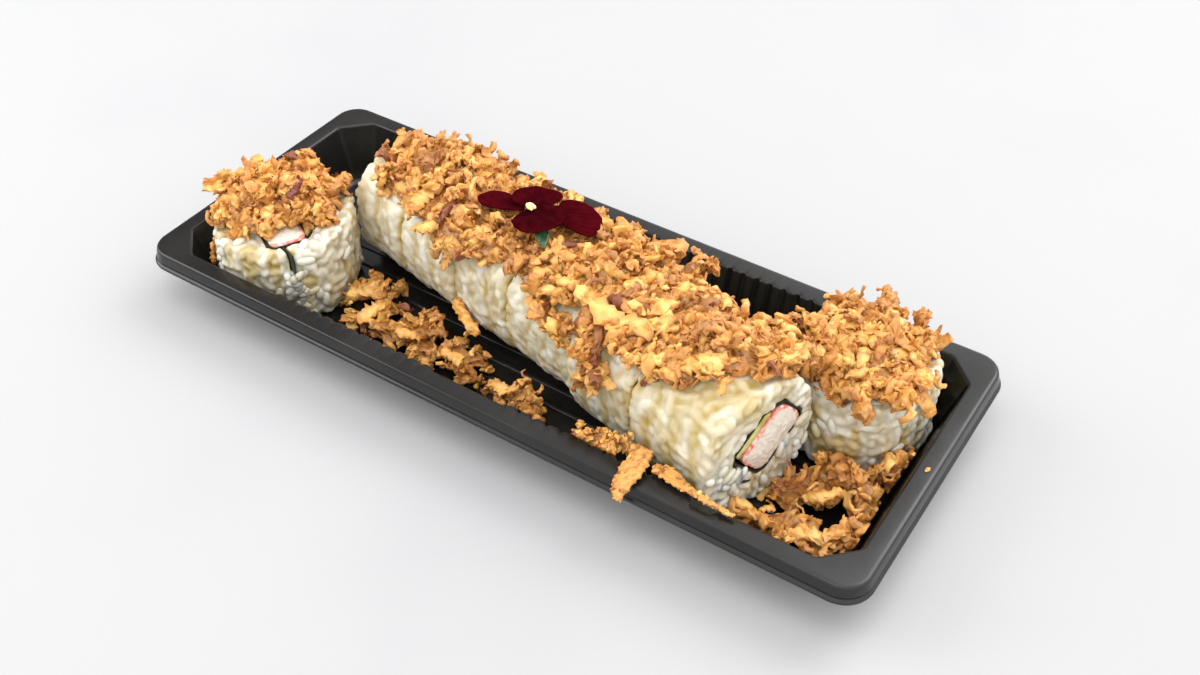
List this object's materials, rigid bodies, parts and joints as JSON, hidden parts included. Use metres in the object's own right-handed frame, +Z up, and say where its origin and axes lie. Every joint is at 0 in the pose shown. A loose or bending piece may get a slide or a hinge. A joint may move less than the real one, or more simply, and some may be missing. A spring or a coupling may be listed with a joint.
{
  "type": "takeaway sushi tray",
  "caption": "Shallow black plastic takeaway tray with a cut inside-out sushi roll, crispy onions and a viola, all built together.",
  "frame": {"origin": "middle of the tray's flat underside", "axes": "+Z up, +X along the tray towards the cut end of the roll, -Y the front long side"},
  "size_m": [0.2244, 0.0951, 0.048],
  "materials": {
    "tray": "semi-gloss black",
    "rice": "moist cooked rice",
    "nori": "moist seaweed sheet",
    "surimi": "crab stick, white inside and red outside",
    "avocado": "soft avocado",
    "onion": "crisp fried onion",
    "petal": "velvety petal",
    "heart": "flower heart",
    "sepal": "leaf green"
  },
  "bodies": {
    "root": {"avocado_1": "avocado", "avocado_2": "avocado", "avocado_3": "avocado", "avocado_4": "avocado", "avocado_5": "avocado", "avocado_6": "avocado", "avocado_left": "avocado", "avocado_right": "avocado", "end_left": "rice", "end_right": "rice", "nori_1": "nori", "nori_2": "nori", "nori_3": "nori", "nori_4": "nori", "nori_5": "nori", "nori_6": "nori", "nori_left": "nori", "nori_right": "nori", "onion_corner": "onion", "onion_front": "onion", "onion_heap": "onion", "onion_left": "onion", "onion_left_flake": "onion", "onion_right": "onion", "onion_rim_flake": "onion", "onion_rim_strip": "onion", "onion_trough_1": "onion", "onion_trough_2": "onion", "petal_front": "petal", "petal_left": "petal", "petal_right": "petal", "petal_top": "petal", "slice_1": "rice", "slice_2": "rice", "slice_3": "rice", "slice_4": "rice", "slice_5": "rice", "slice_6": "rice", "surimi_1": "surimi", "surimi_2": "surimi", "surimi_3": "surimi", "surimi_4": "surimi", "surimi_5": "surimi", "surimi_6": "surimi", "surimi_left": "surimi", "surimi_right": "surimi", "tray": "tray", "viola_heart": "heart", "viola_sepal": "sepal"}
  },
  "joints": []
}
